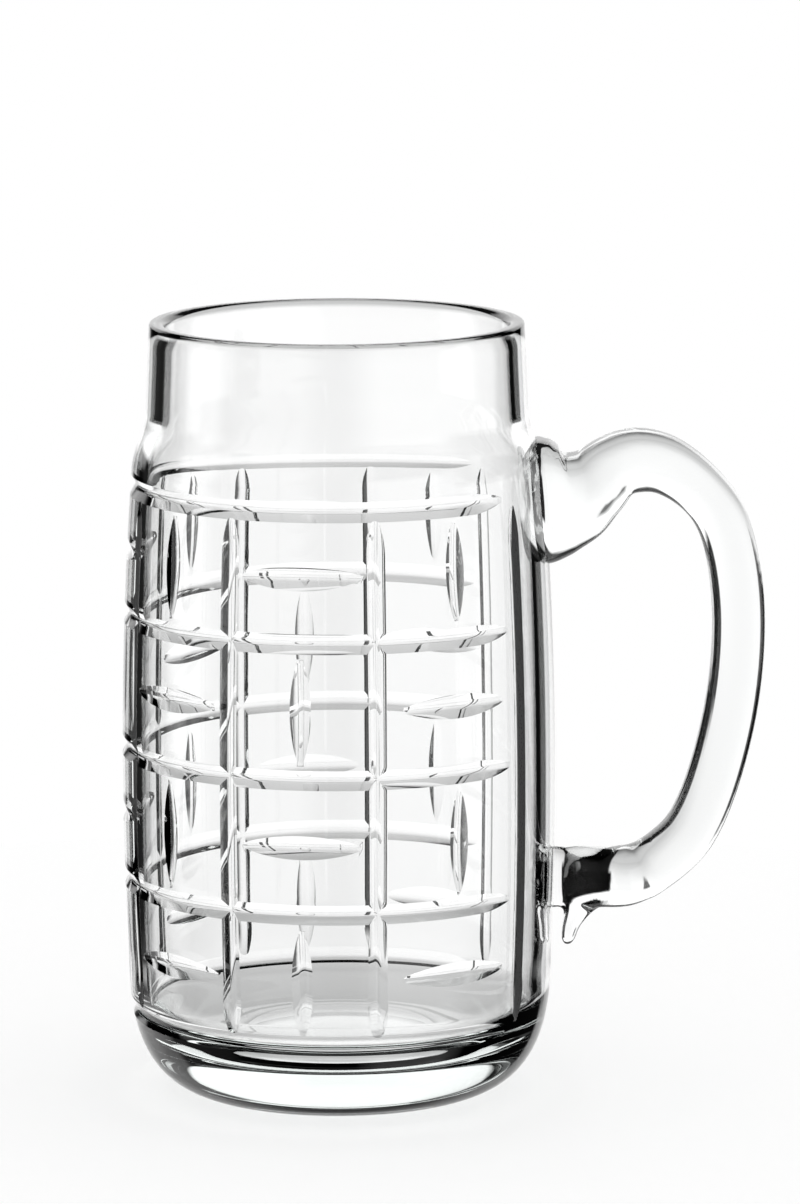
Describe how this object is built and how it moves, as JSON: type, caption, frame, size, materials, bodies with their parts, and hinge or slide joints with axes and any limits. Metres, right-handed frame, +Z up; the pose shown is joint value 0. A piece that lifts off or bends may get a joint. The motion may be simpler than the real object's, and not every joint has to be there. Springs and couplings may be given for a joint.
{
  "type": "glass beer mug",
  "caption": "Clear cut-glass beer mug: barrel body with a lattice of mitred cuts, thick rounded base, plain neck, and a drawn side handle.",
  "frame": {"origin": "on the mug's axis, in the flat face that it stands on", "axes": "+Z up along the mug's axis, +X from the axis towards the handle, so that the handle lies in the XZ plane"},
  "size_m": [0.1275, 0.0859, 0.1538],
  "materials": {
    "body_glass": "polished clear glass, wheel-cut and acid-polished",
    "handle_glass": "fire-polished clear glass"
  },
  "bodies": {
    "root": {"body": "body_glass", "handle": "handle_glass"}
  },
  "joints": []
}
